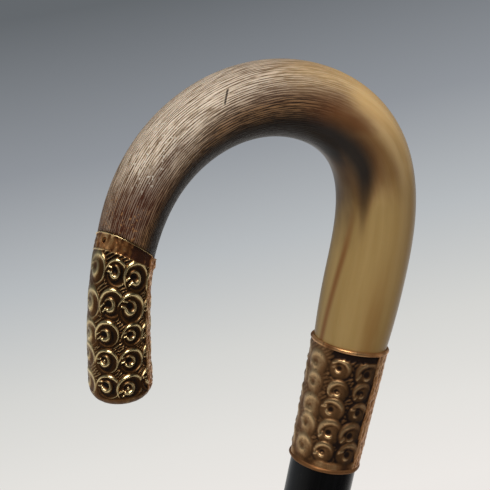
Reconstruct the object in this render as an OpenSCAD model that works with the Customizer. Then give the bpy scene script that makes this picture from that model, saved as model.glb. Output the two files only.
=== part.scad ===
// Walking cane: a bent horn crook with an embossed nose cap and collar on an ebonised shaft.
// Millimetres. The cane stands on the origin, +Z runs up the shaft and the nose points to -X.
// The shaft and its fittings are turned. The horn and its nose cap are swept along the crook.

/* [Cane] */
// Height of the collar's top rim above the floor
collar_top = 820; // [760:5:880]
// Gap left all round where one piece is cemented or pressed into another
fit_gap = 0.1; // [0.05:0.01:0.15]

/* [Shaft] */
// Diameter of the shaft where it enters the collar
shaft_top_d = 20.4; // [19.4:0.1:20.5]
// Diameter of the tenons that the shaft and the horn have inside the collar
tenon_d = 18.4; // [17:0.2:18.6]
// Length of the horn's tenon
horn_tenon_len = 14; // [10:1:18]
// Length of the shaft below the collar that runs parallel before it tapers
shaft_parallel = 6; // [2:1:20]

/* [Ferrule] */
// Outer diameter of the brass sleeve
ferrule_d = 14.4; // [13:0.2:16]
// Length of the brass sleeve
ferrule_len = 38; // [28:1:50]
// Wall of the brass sleeve
ferrule_wall = 0.9; // [0.7:0.1:1.2]
// How much narrower than the sleeve the iron tip's head is, all round
tip_step = 0.5; // [0.3:0.1:0.8]
// Rounding of the tip's worn edge
tip_edge = 1; // [0.5:0.1:1.5]
// Ledge of the shaft above the sleeve
ferrule_ledge = 0.2; // [0.1:0.05:0.4]
// Height of the iron tip below the sleeve
tip_h = 4; // [3:0.5:6]
// Length of the iron tip's plug inside the sleeve
tip_plug_len = 6; // [4:1:10]
// Diameter of the pins that hold the sleeve
ferrule_pin_d = 1.4; // [1:0.1:1.8]
// Depth of those pins in the wood
ferrule_pin_len = 3.5; // [2:0.5:4.5]

/* [Collar] */
// Height of the collar
collar_h = 39.4; // [36:0.2:44]
// Diameter over the rolled lip at the top
collar_top_d = 24.4; // [24:0.1:25]
// Diameter over the bead at the foot
collar_foot_d = 22.6; // [22.5:0.1:23.1]
// Height of the rolled lip
lip_h = 1.3; // [1:0.1:1.8]
// Height of the foot bead
bead_h = 1.5; // [1.2:0.1:2]
// How far the raised work of the collar lies below its lip and its bead
collar_set_back = 0.2; // [0.15:0.05:0.3]
// Depth of the embossed sheet, from the top of its raised work to its back
collar_wall = 0.7; // [0.5:0.05:0.8]
// Air left above and below the cement in the collar
cement_air = 0.5; // [0.3:0.1:1]

/* [Dowel] */
// Diameter of the steel dowel that joins the horn to the shaft
dowel_d = 6; // [5:0.5:8]
// How far the dowel reaches into the horn above its tenon's foot
dowel_up = 28; // [20:1:30]
// How far the dowel reaches down into the shaft
dowel_down = 36; // [25:1:50]
// Air left at each end of the dowel
dowel_air = 0.6; // [0.4:0.1:1]

/* [Crook] */
// Straight length of the horn above its shoulder
rise_len = 21.3; // [18:0.1:26]
// Length over which the bend tightens
tighten_len = 40.5; // [38:0.5:44]
// Tightest radius of the bend
shoulder_r = 27.6; // [26.6:0.2:29]
// Length over which the bend opens again
open_len = 24.5; // [22:0.5:28]
// Radius of the crown
crown_r = 42; // [40:0.5:44]
// Length of the bend at the crown's radius
crown_len = 51.7; // [48:0.1:54]
// Length over which the bend runs out towards the nose
tail_len = 42.5; // [40:0.5:46]
// Radius of the bend at the nose
nose_r = 210; // [150:10:300]
// Length along the centre line from the horn's shoulder to the end of the nose cap
crook_len = 202.3; // [199:0.1:206]

/* [Horn] */
// Diameter of the horn at the collar
horn_foot_d = 22.4; // [21.6:0.1:22.8]
// Diameter where the horn is thickest
horn_swell_d = 24; // [23:0.1:25]
// Diameter of the horn at the rim of the nose cap
horn_nose_d = 15.9; // [15.2:0.1:16.4]
// Diameter of the horn's tip inside the cap
horn_tip_d = 14; // [12:0.2:14.8]
// How fast the horn thins: 1 is even, more keeps it stout for longer
horn_taper = 1.57; // [1.2:0.01:2]

/* [Nose cap] */
// Length of the nose cap along the centre line
cap_len = 42.7; // [38:0.1:46]
// Diameter over the rim of the cap
cap_rim_d = 16.5; // [16.3:0.1:17]
// Diameter over the end of the cap
cap_end_d = 17.8; // [17.4:0.1:18.6]
// Depth of the embossed sheet, from the top of its raised work to its back
cap_wall = 0.8; // [0.5:0.05:0.9]
// Rounding of the closed end
cap_round = 4.5; // [3.5:0.1:5.5]
// How far the slanting rim rises above and drops below its middle
cap_slant = 3.7; // [2:0.1:4.5]
// Turn of the rim's high side from the outside of the bend towards +Y
cap_slant_turn = -36; // [-60:2:0]
// Length over which the slant fades out
slant_fade = 20; // [16:1:26]
// Distance of the cement from the cap's rim
cement_inset = 10; // [8:1:14]
// Thickness of cement beyond the end of the horn
cement_end = 3; // [2:0.5:5]
// Diameter of the pins through the rim
cap_pin_d = 0.9; // [0.7:0.1:1.2]
// Length of those pins
cap_pin_len = 3; // [2:0.5:4]
// Distance of the pins from the rim
cap_pin_inset = 1.8; // [1.4:0.1:2.4]
// Turn of the outer pin from the outside of the bend towards +Y
cap_pin_turn = -20; // [-60:5:0]

/* [Hidden] */
$fn = 96;
sides = 40;
bite = 1;
pin_flush = 0.1;
horn_seat = collar_top - lip_h;
collar_foot = collar_top - collar_h;
joint_z = horn_seat - horn_tenon_len;
tenon_z = collar_foot + bead_h + cement_air;
sleeve_top = tip_h + ferrule_len;
sleeve_bore_r = ferrule_d / 2 - ferrule_wall;
body_top_r = collar_top_d / 2 - collar_set_back;
body_foot_r = collar_foot_d / 2 - collar_set_back;
cap_at = crook_len - cap_len;
cap_tube_end = crook_len - cap_round;
horn_end = cap_tube_end - cement_end;
cement_at = cap_at + cement_inset;
ring_step = 3.2;
path_step = 0.5;

// Curvature of the crook at distance s along its centre line, in degrees per millimetre
function bend(s) =
    let (shoulder_s = rise_len + tighten_len)
    let (crown_s = shoulder_s + open_len)
    let (tail_s = crown_s + crown_len)
    180 / PI * lookup(s, [[rise_len, 0], [shoulder_s, 1 / shoulder_r], [crown_s, 1 / crown_r],
                          [tail_s, 1 / crown_r], [tail_s + tail_len, 1 / nose_r]]);

// Headings and places of the centre line at even steps
path_s = [for (s = 0; s <= crook_len + path_step; s = s + path_step) s];
path_turn = [for (i = 0, a = 0; i < len(path_s); a = a + bend(path_s[i] + path_step / 2) * path_step,
                  i = i + 1) a];
path_x = [for (i = 0, x = 0; i < len(path_s);
               x = x - path_step * sin(path_turn[i] + bend(path_s[i]) * path_step / 2),
               i = i + 1) [path_s[i], x]];
path_z = [for (i = 0, z = horn_seat; i < len(path_s);
               z = z + path_step * cos(path_turn[i] + bend(path_s[i]) * path_step / 2),
               i = i + 1) [path_s[i], z]];
turn_table = [for (i = [0:len(path_s) - 1]) [path_s[i], path_turn[i]]];

function heading(s) = lookup(s, turn_table);
function centre(s) = [lookup(s, path_x), 0, lookup(s, path_z)];

// Point of the crook's skin: phi counts from the outside of the bend towards +Y
function skin(s, r, phi) =
    let (a = heading(s))
    centre(s) + r * [cos(a) * cos(phi), sin(phi), sin(a) * cos(phi)];

// The slant of the cap's rim shifts the rings on both sides of it and fades out
function slanted(s, phi) =
    s - cap_slant * cos(phi - cap_slant_turn) * max(0, 1 - abs(s - cap_at) / slant_fade);
function ring(s, r) = [for (i = [0:sides - 1]) let (phi = 360 * i / sides) skin(slanted(s, phi), r, phi)];

// Radius of the horn: it swells from the collar and then thins to the nose
function horn_r(s) =
    let (v = min(1, max(0, (s - lip_h) / (rise_len - lip_h))))
    let (u = max(0, (s - rise_len) / (cap_at - rise_len)))
    (horn_foot_d + (horn_swell_d - horn_foot_d) * v * (2 - v)
     - (horn_swell_d - horn_nose_d) * pow(u, horn_taper)) / 2;

// Radii of the cap's outside, and of the horn where it is cut down inside the cap
function cap_r(s) = (cap_rim_d + (cap_end_d - cap_rim_d) * (s - cap_at) / (cap_tube_end - cap_at)) / 2;
function horn_tip_r(s) =
    let (start_r = cap_rim_d / 2 - cap_wall - fit_gap)
    start_r + (horn_tip_d / 2 - start_r) * (s - cap_at) / (horn_end - cap_at);

// Two triangles of a skin between neighbouring rings
function quad(a, b, j) =
    let (k = (j + 1) % sides)
    [[a * sides + j, b * sides + j, b * sides + k], [a * sides + j, b * sides + k, a * sides + k]];
function steps(from, to) =
    let (n = ceil(abs(to - from) / ring_step))
    [for (i = [0:n]) from + (to - from) * i / n];

// Solid through a chain of rings, closed by its first and last ring
module rod_skin(rings) {
    last = len(rings) - 1;
    polyhedron(
        points = [for (r = rings) each r],
        faces = concat(
            [for (i = [0:last - 1], j = [0:sides - 1]) each quad(i, i + 1, j)],
            [[for (j = [0:sides - 1]) j]],
            [[for (j = [0:sides - 1]) (last + 1) * sides - 1 - j]]),
        convexity = 6);
}

// Solid through a closed chain of rings, such as a tube's outer and inner wall
module tube_skin(rings) {
    count = len(rings);
    polyhedron(
        points = [for (r = rings) each r],
        faces = [for (i = [0:count - 1], j = [0:sides - 1]) each quad(i, (i + 1) % count, j)],
        convexity = 6);
}

// Pins through the cap's rim, one outside the bend and one opposite, or the holes for them
module cap_pins(d, top) {
    for (phi = [cap_pin_turn, cap_pin_turn + 180]) {
        s = slanted(cap_at, phi) + cap_pin_inset;
        translate(skin(s, cap_rim_d / 2 - cap_pin_len, phi))
            rotate([0, -heading(s), 0])
                rotate([0, 0, phi])
                    rotate([0, 90, 0])
                        cylinder(h = cap_pin_len + top, d = d, $fn = 32);
    }
}

// Pins through the ferrule, on both sides, or the holes for them
module sleeve_pins(d, top) {
    for (turn = [0, 180])
        rotate([0, 90, turn])
            translate([-(sleeve_top - ferrule_len / 4), 0, sleeve_bore_r - ferrule_pin_len])
                cylinder(h = ferrule_wall + ferrule_pin_len + top, d = d, $fn = 32);
}

// Hardwood shaft, turned to a taper, with a tenon at each end and a hole for the dowel
module shaft() {
    foot_r = sleeve_bore_r - fit_gap;
    color("#17181a")
    difference() {
        rotate_extrude()
            polygon([[0, tip_h + tip_plug_len], [foot_r, tip_h + tip_plug_len], [foot_r, sleeve_top],
                     [ferrule_d / 2 + ferrule_ledge, sleeve_top], [shaft_top_d / 2, collar_foot - shaft_parallel],
                     [shaft_top_d / 2, tenon_z], [tenon_d / 2, tenon_z], [tenon_d / 2, joint_z],
                     [0, joint_z]]);
        translate([0, 0, joint_z - dowel_down - dowel_air])
            cylinder(h = dowel_down + dowel_air + bite, d = dowel_d + 2 * fit_gap);
        sleeve_pins(ferrule_pin_d + fit_gap, bite);
    }
}

// Brass sleeve that guards the foot of the shaft
module ferrule_sleeve() {
    color("#b08a42")
    difference() {
        translate([0, 0, tip_h])
            cylinder(h = ferrule_len, d = ferrule_d);
        translate([0, 0, tip_h - bite])
            cylinder(h = ferrule_len + 2 * bite, r = sleeve_bore_r);
        sleeve_pins(ferrule_pin_d + fit_gap, bite);
    }
}

// Iron tip: a plug in the sleeve and a worn head with its edge rounded off
module ferrule_tip() {
    head_r = ferrule_d / 2 - tip_step;
    color("#5a5856") {
        translate([0, 0, tip_edge])
            cylinder(h = tip_h - tip_edge, r = head_r);
        cylinder(h = tip_edge, r1 = head_r - tip_edge, r2 = head_r);
        translate([0, 0, tip_edge])
            cylinder(h = tip_h - tip_edge + tip_plug_len, r = sleeve_bore_r - fit_gap);
    }
}

// Brass pins that hold the sleeve on the wood
module ferrule_pins() {
    color("#a3803f")
        sleeve_pins(ferrule_pin_d, -pin_flush);
}

// Collar of thin sheet, with a rolled lip round the horn and a bead round the shaft
module collar_shell() {
    lip_r = lip_h / 2;
    bead_r = bead_h / 2;
    lip_axis = collar_top_d / 2 - lip_r;
    bead_axis = collar_foot_d / 2 - bead_r;
    body_h = collar_h - lip_h;
    horn_bore_r = horn_foot_d / 2 + fit_gap;
    shaft_bore_r = shaft_top_d / 2 + fit_gap;
    color("#b28a55")
    translate([0, 0, collar_foot])
        rotate_extrude()
            difference() {
                union() {
                    polygon([[0, 0], [bead_axis, 0], [bead_axis, bead_h], [body_foot_r, bead_h],
                             [body_top_r, body_h], [lip_axis, body_h], [lip_axis, collar_h],
                             [0, collar_h]]);
                    translate([bead_axis, bead_r])
                        circle(r = bead_r, $fn = 32);
                    translate([lip_axis, collar_h - lip_r])
                        circle(r = lip_r, $fn = 32);
                }
                polygon([[0, -bite], [shaft_bore_r, -bite], [shaft_bore_r, bead_h],
                         [body_foot_r - collar_wall, bead_h], [body_top_r - collar_wall, body_h],
                         [horn_bore_r, body_h], [horn_bore_r, collar_h + bite], [0, collar_h + bite]]);
            }
}

// Cement that fills the collar round the two tenons
module collar_cement() {
    foot = tenon_z - collar_foot;
    head = horn_seat - collar_foot - cement_air;
    slope = (body_top_r - body_foot_r) / (head - bead_h);
    color("#3b2418")
    translate([0, 0, collar_foot])
        rotate_extrude()
            polygon([[tenon_d / 2 + fit_gap, foot],
                     [body_foot_r - collar_wall - fit_gap + slope * (foot - bead_h), foot],
                     [body_top_r - collar_wall - fit_gap, head],
                     [tenon_d / 2 + fit_gap, head]]);
}

// Steel dowel that carries the load from the horn to the shaft
module joining_dowel() {
    color("#8d9094")
    translate([0, 0, joint_z - dowel_down])
        cylinder(h = dowel_down + dowel_up, d = dowel_d);
}

// Horn, steamed and bent, with a tenon for the collar and its tip cut down to fit the cap
module horn_crook() {
    body = [for (s = steps(0, cap_at)) ring(s, horn_r(s))];
    tip = [for (s = steps(cap_at, horn_end)) ring(s, horn_tip_r(s))];
    color("#8a7350")
    difference() {
        union() {
            rod_skin(concat(body, tip));
            translate([0, 0, joint_z])
                cylinder(h = horn_tenon_len + bite, d = tenon_d);
        }
        translate([0, 0, joint_z - bite])
            cylinder(h = dowel_up + dowel_air + bite, d = dowel_d + 2 * fit_gap);
        cap_pins(cap_pin_d + fit_gap, bite);
    }
}

// Embossed sheath of the nose: its slanting rim meets a step in the horn
module nose_cap_shell() {
    along = steps(cap_at + fit_gap, cap_tube_end);
    back = steps(cap_tube_end, cap_at + fit_gap);
    color("#b28a55")
    difference() {
        tube_skin(concat([for (s = along) ring(s, cap_r(s))], [for (s = back) ring(s, cap_r(s) - cap_wall)]));
        cap_pins(cap_pin_d + fit_gap, bite);
    }
}

// Domed plate soldered over the end of the sheath
module nose_cap_end() {
    color("#b28a55")
    translate(centre(cap_tube_end))
        rotate([0, -heading(cap_tube_end), 0])
            rotate_extrude()
                difference() {
                    union() {
                        translate([cap_end_d / 2 - cap_round, 0])
                            intersection() {
                                circle(r = cap_round);
                                square(cap_round);
                            }
                        square([cap_end_d / 2 - cap_round, cap_round]);
                    }
                    translate([cap_end_d / 2 - cap_round, 0])
                        circle(r = cap_round - cap_wall);
                    translate([0, -bite])
                        square([cap_end_d / 2 - cap_round, cap_round - cap_wall + bite]);
                }
}

// Cement that fills the cap round the horn's tip
module nose_cap_cement() {
    color("#3b2418")
        rod_skin(concat(
            [for (s = steps(horn_end + fit_gap, cement_at)) ring(s, horn_tip_r(s) + fit_gap)],
            [for (s = steps(cement_at, cap_tube_end)) ring(s, cap_r(s) - cap_wall - fit_gap)]));
}

// Small pins through the rim of the cap
module nose_cap_pins() {
    color("#6b4a2c")
        cap_pins(cap_pin_d, -pin_flush);
}

shaft();
ferrule_sleeve();
ferrule_tip();
ferrule_pins();
collar_shell();
collar_cement();
joining_dowel();
horn_crook();
nose_cap_shell();
nose_cap_end();
nose_cap_cement();
nose_cap_pins();
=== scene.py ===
# Walking cane: a crook of bent horn with an embossed nose cap, an embossed collar, an ebonised
# shaft and a ferrule. Metres. The foot stands on the origin, +Z runs up the shaft and the nose
# points to -X.
import bmesh
import bpy
import math
import numpy as np
from mathutils import Matrix, Vector


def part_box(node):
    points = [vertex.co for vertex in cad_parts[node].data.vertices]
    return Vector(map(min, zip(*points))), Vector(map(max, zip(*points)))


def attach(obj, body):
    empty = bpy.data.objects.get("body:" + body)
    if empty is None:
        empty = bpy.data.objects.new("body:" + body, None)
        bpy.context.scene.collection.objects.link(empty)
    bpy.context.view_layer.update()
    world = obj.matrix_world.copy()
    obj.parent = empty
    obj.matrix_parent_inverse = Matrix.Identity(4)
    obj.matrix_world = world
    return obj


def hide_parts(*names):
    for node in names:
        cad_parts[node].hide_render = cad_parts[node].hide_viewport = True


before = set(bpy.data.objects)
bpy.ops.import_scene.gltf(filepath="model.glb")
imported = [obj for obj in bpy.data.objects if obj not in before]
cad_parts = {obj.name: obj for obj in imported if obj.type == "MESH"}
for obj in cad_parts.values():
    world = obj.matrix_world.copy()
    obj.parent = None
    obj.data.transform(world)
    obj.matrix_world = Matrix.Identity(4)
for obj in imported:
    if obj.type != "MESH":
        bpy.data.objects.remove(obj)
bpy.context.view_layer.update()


# Shaft: straight-grained hardwood, turned to a taper, stained black and French polished. Its solid
# has the true shape and keeps it. The finish is a deep gloss, dulled by handling, with the grain
# just showing under it.
def tint(red, green, blue):
    """A colour from its 0 to 255 values on screen, in the linear light that shaders work in."""
    return tuple((value / 255) ** 2.2 for value in (red, green, blue)) + (1,)


class Nodes:
    """A node tree, with short ways to add nodes to it and join them."""

    def __init__(self, tree):
        self.tree = tree

    def feed(self, socket, value):
        """Joins another node's output to a socket, or writes a plain value into it."""
        if isinstance(value, bpy.types.NodeSocket):
            self.tree.links.new(value, socket)
        else:
            socket.default_value = value

    def add(self, kind, inputs=None, **settings):
        """A new node. inputs holds what to feed its sockets, by their names or numbers."""
        node = self.tree.nodes.new(kind)
        for name, value in settings.items():
            setattr(node, name, value)
        for socket, value in (inputs or {}).items():
            self.feed(node.inputs[socket], value)
        return node

    def maths(self, operation, *values):
        return self.add("ShaderNodeMath", dict(enumerate(values)), operation=operation).outputs[0]

    def times(self, *values):
        """The product of values, of which the first comes from a node."""
        product = values[0]
        for value in values[1:]:
            product = self.maths("MULTIPLY", product, value)
        return product

    def vector(self, operation, *values):
        node = self.add("ShaderNodeVectorMath", dict(enumerate(values)), operation=operation)
        return node.outputs["Vector"]

    def measure(self, operation, *values):
        """The number that a vector operation gives, such as a length."""
        node = self.add("ShaderNodeVectorMath", dict(enumerate(values)), operation=operation)
        return node.outputs["Value"]

    def split(self, vector):
        """The X, Y and Z of a vector."""
        return self.add("ShaderNodeSeparateXYZ", {0: vector}).outputs

    def fade(self, value, start, stop, low=0, high=1):
        """low before start and high past stop, eased in between; start may lie above stop."""
        given = dict(enumerate((value, start, stop, low, high)))
        return self.add("ShaderNodeMapRange", given, interpolation_type="SMOOTHSTEP").outputs[0]

    def near(self, value, middle, far, close):
        """0 where value lies far from middle and 1 where it is close, eased in between."""
        apart = self.maths("ABSOLUTE", self.maths("SUBTRACT", value, middle))
        return self.fade(apart, far, close)

    def span(self, value, begins, whole, wanes, ends):
        """0 before begins and past ends and 1 from whole to wanes, eased in between."""
        return self.times(self.fade(value, begins, whole), self.fade(value, ends, wanes))

    def noise(self, vector, scale, detail=3, roughness=0.5, distortion=0):
        given = {
            "Vector": vector, "Scale": scale, "Detail": detail, "Roughness": roughness,
            "Distortion": distortion}
        return self.add("ShaderNodeTexNoise", given).outputs["Fac"]

    def drawn_noise(self, vector, squeeze, scale, detail=3, roughness=0.5):
        """Noise that is drawn out along the axes on which squeeze is small."""
        return self.noise(self.vector("MULTIPLY", vector, squeeze), scale, detail, roughness)

    def mix(self, share, under, over):
        given = {0: share, 6: under, 7: over}
        return self.add("ShaderNodeMix", given, data_type="RGBA").outputs[2]

    def ramp(self, value, *stops):
        """A colour that runs through stops, each a value and a colour as tint takes it."""
        node = self.add("ShaderNodeValToRGB", {"Fac": value})
        elements = node.color_ramp.elements
        while len(elements) < len(stops):
            elements.new(0.5)
        for element, (position, *colour) in zip(elements, stops):
            element.position = position
            element.color = tint(*colour)
        return node.outputs["Color"]

    def bump(self, height, distance, strength=1, under=None):
        given = {"Height": height, "Distance": distance, "Strength": strength}
        if under is not None:
            given["Normal"] = under
        return self.add("ShaderNodeBump", given).outputs["Normal"]


class Finish(Nodes):
    """A material, with the object's own coordinates as its place and one Principled shader."""

    def __init__(self, name, **constants):
        self.material = bpy.data.materials.new(name)
        self.material.use_nodes = True
        super().__init__(self.material.node_tree)
        self.shader = self.tree.nodes["Principled BSDF"]
        self.place = self.add("ShaderNodeTexCoord").outputs["Object"]
        self.shade(**constants)

    def shade(self, **inputs):
        for socket, value in inputs.items():
            self.feed(self.shader.inputs[socket.replace("_", " ")], value)

    def attribute(self, name, output="Fac"):
        return self.add("ShaderNodeAttribute", attribute_name=name).outputs[output]

    def handling(self, fineness, patch):
        """Scratches and smudges from the shared group, at this material's own scales."""
        given = {"Place": self.place, "Fineness": fineness, "Patch": patch}
        node = self.add("ShaderNodeGroup", given, node_tree=handling_marks)
        return node.outputs["Scratches"], node.outputs["Smudges"]


def marks_of_handling():
    """The marks that a century in the hand leaves on any finish: hairline scratches and smudges."""
    tree = bpy.data.node_groups.new("handling_marks", "ShaderNodeTree")
    tree.interface.new_socket("Place", in_out="INPUT", socket_type="NodeSocketVector")
    for name in ("Fineness", "Patch"):
        tree.interface.new_socket(name, in_out="INPUT", socket_type="NodeSocketFloat")
    for name in ("Scratches", "Smudges"):
        tree.interface.new_socket(name, in_out="OUTPUT", socket_type="NodeSocketFloat")
    marks = Nodes(tree)
    given = marks.add("NodeGroupInput").outputs
    hairs = 0
    for tilt, squeeze in (
            (0.1, (1, 1, 0.02)), (-0.4, (1, 1, 0.04)), (0.06, (0.04, 0.04, 1))):
        turned = marks.add(
            "ShaderNodeVectorRotate", {"Vector": given["Place"], "Rotation": (tilt, tilt, 0)},
            rotation_type="EULER_XYZ")
        drawn = marks.drawn_noise(turned.outputs[0], squeeze, given["Fineness"], 1)
        hairs = marks.maths("MAXIMUM", hairs, marks.fade(drawn, 0.66, 0.74))
    worn = marks.fade(marks.noise(given["Place"], given["Patch"], 2), 0.48, 0.62)
    smudges = marks.noise(given["Place"], given["Patch"], 5, 0.6, 0.4)
    marks.add("NodeGroupOutput", {"Scratches": marks.times(hairs, worn), "Smudges": smudges})
    return tree


handling_marks = marks_of_handling()


def dress(node, finish):
    """Gives a CAD node its finish."""
    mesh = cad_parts[node].data
    mesh.materials.clear()
    mesh.materials.append(finish.material)


def ebonised_wood():
    wood = Finish("ebonised_wood", Coat_Weight=0.12, Coat_Roughness=0.12, Specular_IOR_Level=0.2)
    grain = wood.drawn_noise(wood.place, (1, 1, 0.02), 1500)
    scratches, smudges = wood.handling(2600, 45)
    stain = wood.ramp(grain, (0.3, 6, 6, 8), (0.75, 17, 17, 19))
    wood.shade(
        Base_Color=wood.mix(scratches, stain, tint(44, 41, 40)),
        Roughness=wood.fade(smudges, 0.3, 0.75, 0.24, 0.36),
        Normal=wood.bump(grain, 0.00004, 0.5))
    return wood


dress("shaft", ebonised_wood())


# Ferrule sleeve: a tube of drawn brass, pressed over the turned-down foot of the shaft. It is dull
# from the street: brown in the sheltered places, bright where it was knocked, scored round its foot.
def old_brass(name, polished, tarnished, *bands):
    """Drawn brass, with more tarnish or less in bands round it.

    A band is the level where its change starts, the level past which it is whole, and how much.
    """
    brass = Finish(name, Metallic=1)
    scratches, smudges = brass.handling(3400, 120)
    dirt = brass.drawn_noise(brass.place, (1, 1, 1.6), 420, 6, 0.7)
    tarnish = brass.maths("MULTIPLY_ADD", smudges, 0.5, brass.times(dirt, 0.5))
    for start, stop, change in bands:
        level = brass.split(brass.place)["Z"]
        tarnish = brass.maths("ADD", tarnish, brass.fade(level, start, stop, 0, change))
    scored = brass.drawn_noise(brass.place, (0.1, 0.1, 1), 5200, 2)
    dulled = brass.ramp(tarnish, (0.38, *polished), (0.66, *tarnished))
    brass.shade(
        Base_Color=brass.mix(scratches, dulled, tint(*polished)),
        Roughness=brass.fade(tarnish, 0.35, 0.7, 0.26, 0.52),
        Normal=brass.bump(brass.maths("MULTIPLY_ADD", dirt, 0.6, scored), 0.00003, 0.5))
    return brass


sleeve_foot, sleeve_top = (corner[2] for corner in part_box("ferrule_sleeve"))
dress("ferrule_sleeve", old_brass(
    "ferrule_brass", (190, 156, 98), (104, 76, 44),
    (sleeve_top - 0.004, sleeve_top, 0.2), (sleeve_foot + 0.012, sleeve_foot, -0.1)))


# Ferrule tip: an iron plug driven into the sleeve, with a head that the ground has worn round. The
# iron is grey where it rubs, and brown with rust in its pits.
def worn_iron():
    iron = Finish("tip_iron", Metallic=0.85)
    scratches, smudges = iron.handling(3000, 160)
    pits = iron.noise(iron.place, 1600, 6, 0.65)
    rust = iron.fade(pits, 0.5, 0.66)
    rubbed = iron.ramp(smudges, (0.3, 96, 93, 90), (0.75, 134, 131, 127))
    iron.shade(
        Base_Color=iron.mix(rust, iron.mix(scratches, rubbed, tint(176, 174, 170)), tint(86, 54, 34)),
        Roughness=iron.fade(rust, 0, 1, 0.38, 0.82),
        Normal=iron.bump(pits, 0.00012, 0.7))
    return iron


dress("ferrule_tip", worn_iron())


# Ferrule pins: two short pins of brass wire, driven through the sleeve into the wood so that it
# can't slip off. They were filed flush and have tarnished since.
pin_brass = old_brass("pin_brass", (172, 126, 74), (84, 56, 32))
dress("ferrule_pins", pin_brass)


# Joining dowel: a drawn steel rod, cemented into the horn and the shaft. It carries the load from
# one to the other, and the drawing lines run along it.
def drawn_steel():
    steel = Finish("dowel_steel", Metallic=1)
    lines = steel.drawn_noise(steel.place, (1, 1, 0.01), 3200, 2)
    scratches, smudges = steel.handling(3000, 200)
    bright = steel.ramp(lines, (0.3, 150, 152, 156), (0.7, 196, 198, 202))
    steel.shade(
        Base_Color=steel.mix(scratches, bright, tint(96, 92, 88)),
        Roughness=steel.fade(smudges, 0.3, 0.7, 0.24, 0.4),
        Normal=steel.bump(lines, 0.00002, 0.6))
    return steel


dress("joining_dowel", drawn_steel())


# Collar cement: brown shellac cement that was poured hot into the collar round both tenons. It set
# with a skin, small bubbles and a conchoidal shine.
def shellac_cement():
    cement = Finish("cement", Specular_IOR_Level=0.6)
    flow = cement.noise(cement.place, 320, 4, 0.5, 1.2)
    bubbles = cement.fade(cement.noise(cement.place, 2600, 1), 0.68, 0.74)
    cement.shade(
        Base_Color=cement.ramp(flow, (0.3, 56, 30, 18), (0.7, 104, 62, 36)),
        Roughness=cement.fade(flow, 0.3, 0.7, 0.25, 0.5),
        Normal=cement.bump(cement.maths("SUBTRACT", flow, bubbles), 0.00015, 0.6))
    return cement


cement = shellac_cement()
dress("collar_cement", cement)


# Collar: thin gold-plated sheet, struck all over with scrolls and rolled into a tube that is
# lapped down its nose side. Its top edge is rolled outwards round the horn, its foot beaded.
MM = 0.001
COLLAR_FOOT_Z = 780.6
COLLAR_H = 39.4
LIP_R = 0.65
LIP_AXIS = 11.55
HORN_BORE_R = 11.3
BEAD_R = 0.75
BEAD_AXIS = 10.55
SHAFT_BORE_R = 10.3
COLLAR_BODY_Z = (1.5, 38.1)
COLLAR_BODY_R = (11.1, 12)
COLLAR_BACK = 0.72
COLLAR_DEPTH = 0.62
COLLAR_SIDES = 360
COLLAR_BODY_RINGS = 208
COLLAR_COLUMNS = 9
COLLAR_ROWS = 5
COLLAR_ROW_H = 6.75
COLLAR_TOP_ROW_Z = 33.1
COLLAR_COLUMN_AT = 230
COLLAR_LAP = (287, 326)
SCROLL_STRAY = 0.6
SCROLL_LEAN = 0.55
SCROLL_SPREAD = 0.14
SCROLL_EDGE = (0.98, 1.1)


def eased(value, start, stop):
    """0 before start and 1 past stop, eased in between; start may lie above stop."""
    share = np.clip((value - start) / (stop - start), 0, 1)
    return share * share * (3 - 2 * share)


def between(value, begins, whole, wanes, ends):
    """0 before begins and past ends and 1 from whole to wanes, eased in between."""
    return eased(value, begins, whole) * eased(value, ends, wanes)


def swell(along, *stops):
    """A value that runs from stop to stop, each a place and the value there."""
    places, values = zip(*stops)
    return np.interp(along, places, values)


def ridge(off, width, edge=2):
    """Height of a ridge at a distance off its crest. A higher edge makes it squarer."""
    return np.exp(-np.abs(off / width) ** edge)


def clockwise(start, x, y):
    """How far clockwise of a start angle a place lies, as a share of a full turn."""
    return (np.radians(start) - np.arctan2(y, x)) / (2 * math.pi) % 1


def bars_at_left(x, y, temper, lap, level, fineness, outer):
    """Height of the short bars that run in from the left of a scroll, out to a radius."""
    out = np.hypot(x, y)
    across = level + 0.4 * np.cos(fineness * (y - 0.5 * x) + 5 * temper)
    return across * between(lap, -0.02, 0.03, 0.13, 0.2) * between(out, 0.42, 0.52, outer - 0.1, outer)


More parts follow.
